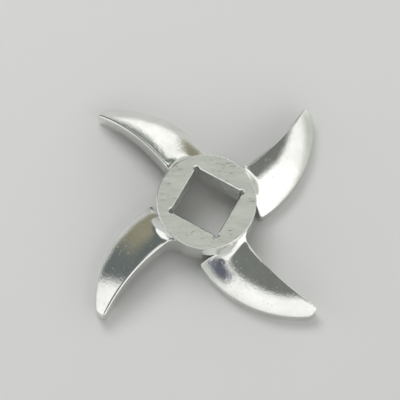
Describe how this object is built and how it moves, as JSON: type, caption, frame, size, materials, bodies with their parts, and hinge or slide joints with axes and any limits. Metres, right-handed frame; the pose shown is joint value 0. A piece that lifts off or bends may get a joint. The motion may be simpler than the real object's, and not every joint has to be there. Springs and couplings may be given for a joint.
{
  "type": "meat grinder knife",
  "caption": "Cross-shaped steel cutting knife for a meat grinder, with crowned sickle arms, ground cutting lands and a square drive bore with drilled corners.",
  "frame": {"origin": "on the bore's axis, in the plane of the cutting lands", "axes": "+Z along the bore from the cutting lands to the hub's back face, +X and +Y square to the flats of the bore"},
  "size_m": [0.0726, 0.0726, 0.012],
  "materials": {
    "knife_steel": "stainless steel, polished on the arms, ground on the hub's back face and the cutting lands"
  },
  "bodies": {
    "root": {"grinder_knife": "knife_steel"}
  },
  "joints": []
}
